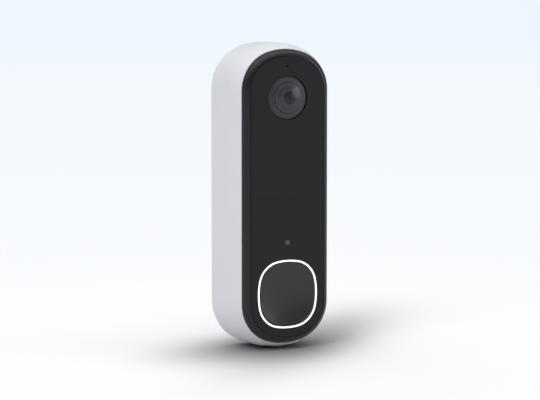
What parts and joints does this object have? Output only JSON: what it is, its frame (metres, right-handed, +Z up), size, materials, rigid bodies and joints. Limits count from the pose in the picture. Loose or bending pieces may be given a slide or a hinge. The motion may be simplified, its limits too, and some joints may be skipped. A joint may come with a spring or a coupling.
{
  "type": "video doorbell",
  "caption": "Slim round-ended battery video doorbell: camera dome above, lit rounded-square button below, in a pale housing that hooks on a screwed wall plate.",
  "frame": {"origin": "on the wall, midway between the wall plate's two screw holes", "axes": "+Z up along the body, +X to the right for somebody facing it, front towards -Y, +Y into the wall"},
  "size_m": [0.0468, 0.03, 0.132],
  "materials": {
    "housing_white": "fine satin moulding",
    "bezel_black": "glossy moulding",
    "face_black": "semi-gloss coated plate",
    "lens_black": "satin black",
    "dome_clear": "dark tinted clear dome",
    "lens_glass": "coated glass",
    "inner_black": "moulded",
    "filter_glass": "blue-green filter glass",
    "coil_copper": "enamelled copper winding",
    "chip_black": "moulded chip",
    "board_green": "solder mask",
    "flex_amber": "polyimide film",
    "lamp_clear": "moulded lamp",
    "lamp_white": "moulded lamp",
    "spring_steel": "bright drawn",
    "screw_steel": "zinc plated",
    "shield_metal": "tinned sheet",
    "brass_contact": "machined",
    "rubber_black": "moulded",
    "rubber_grey": "moulded silicone",
    "sensor_grey": "smoked clear pin",
    "button_black": "satin moulding",
    "ring_white": "milky light guide, lit white",
    "plunger_plastic": "moulded",
    "battery_wrap": "shrink film",
    "foam_grey": "closed-cell foam",
    "wire_red": "insulation",
    "cone_black": "pressed cone",
    "mesh_black": "woven water mesh",
    "latch_grey": "moulded acetal",
    "plate_grey": "textured moulding"
  },
  "bodies": {
    "wall_plate": {"wall_plate": "plate_grey", "catch_clip": "spring_steel"},
    "unit": {"battery_connector": "plunger_plastic", "battery_foam": "foam_grey", "battery_lead": "wire_red", "battery_pack": "battery_wrap", "button_board": "board_green", "button_light_ring": "ring_white", "button_return_pad": "rubber_grey", "button_switch": "chip_black", "camera_board": "board_green", "camera_flex": "flex_amber", "case_screws": "screw_steel", "frame_screws": "screw_steel", "front_bezel": "bezel_black", "front_lens_element": "lens_glass", "housing_seal": "rubber_black", "image_sensor": "chip_black", "ir_cut_coil": "coil_copper", "ir_leds": "lamp_clear", "ir_mic_board": "board_green", "latch_spring": "spring_steel", "lens_barrel": "lens_black", "lens_dome": "dome_clear", "lens_holder": "inner_black", "lens_retaining_ring": "lens_black", "lens_trim_ring": "lens_black", "light_pipe": "sensor_grey", "light_sensor": "chip_black", "lower_face_plate": "face_black", "main_board": "board_green", "main_board_chips": "chip_black", "mic_gasket": "rubber_black", "microphone": "spring_steel", "mid_frame": "inner_black", "rear_housing": "housing_white", "rear_lens_element": "lens_glass", "rf_shield": "shield_metal", "ring_leds": "lamp_white", "speaker_frame": "shield_metal", "speaker_mesh": "mesh_black", "speaker_surround": "rubber_black", "sync_switch": "chip_black", "terminal_posts": "brass_contact", "terminal_screws": "screw_steel", "threaded_inserts": "brass_contact", "upper_face_plate": "face_black", "usb_board": "board_green", "usb_socket": "shield_metal", "wifi_antenna": "brass_contact"},
    "button": {"doorbell_button": "button_black"},
    "switch_plunger": {"switch_plunger": "plunger_plastic"},
    "ir_filter": {"ir_cut_frame": "inner_black", "ir_cut_glass": "filter_glass"},
    "ir_arm": {"ir_cut_arm": "inner_black"},
    "speaker_cone": {"speaker_cone": "cone_black"},
    "latch": {"release_latch": "latch_grey"},
    "usb_cover": {"usb_port_cover": "rubber_grey"},
    "sync_button": {"sync_button": "button_black"}
  },
  "joints": [
    {"name": "unit_tilt", "type": "hinge", "parent": "wall_plate", "child": "unit", "pos_m": [0, -0.0012, 0.0605], "axis": [-1, 0, 0], "range_deg": [0, 8], "deforming": ["catch_clip"]},
    {"name": "button_press", "type": "slide", "parent": "unit", "child": "button", "axis": [0, 1, 0], "range_m": [0, 0.0006], "stiffness_N_per_m": 4000, "deforming": ["button_return_pad"]},
    {"name": "plunger_press", "type": "slide", "parent": "unit", "child": "switch_plunger", "axis": [0, 1, 0], "range_m": [0, 0.0006]},
    {"name": "ir_arm_swing", "type": "hinge", "parent": "unit", "child": "ir_arm", "pos_m": [0.00257, -0.0145, 0.02914], "axis": [0, 1, 0], "range_deg": [0, 80]},
    {"name": "ir_filter_slide", "type": "slide", "parent": "unit", "child": "ir_filter", "axis": [1, 0, 0], "range_m": [0, 0.00514]},
    {"name": "speaker_stroke", "type": "slide", "parent": "unit", "child": "speaker_cone", "axis": [0, 1, 0], "range_m": [-0.0003, 0.0003], "stiffness_N_per_m": 800, "deforming": ["speaker_surround"]},
    {"name": "latch_slide", "type": "slide", "parent": "unit", "child": "latch", "axis": [0, 0, 1], "range_m": [0, 0.0022], "stiffness_N_per_m": 600, "springref_m": -0.001, "deforming": ["latch_spring"]},
    {"name": "usb_cover_swing", "type": "hinge", "parent": "unit", "child": "usb_cover", "pos_m": [0, -0.0062, -0.026], "axis": [1, 0, 0], "range_deg": [0, 85]},
    {"name": "sync_press", "type": "slide", "parent": "unit", "child": "sync_button", "axis": [0, -1, 0], "range_m": [0, 0.0004], "stiffness_N_per_m": 1500}
  ],
  "couplings": [
    {"joint": "plunger_press", "follows": "button_press", "ratio": 1},
    {"joint": "ir_arm_swing", "follows": "ir_filter_slide", "rad_per_m": 271.52}
  ]
}
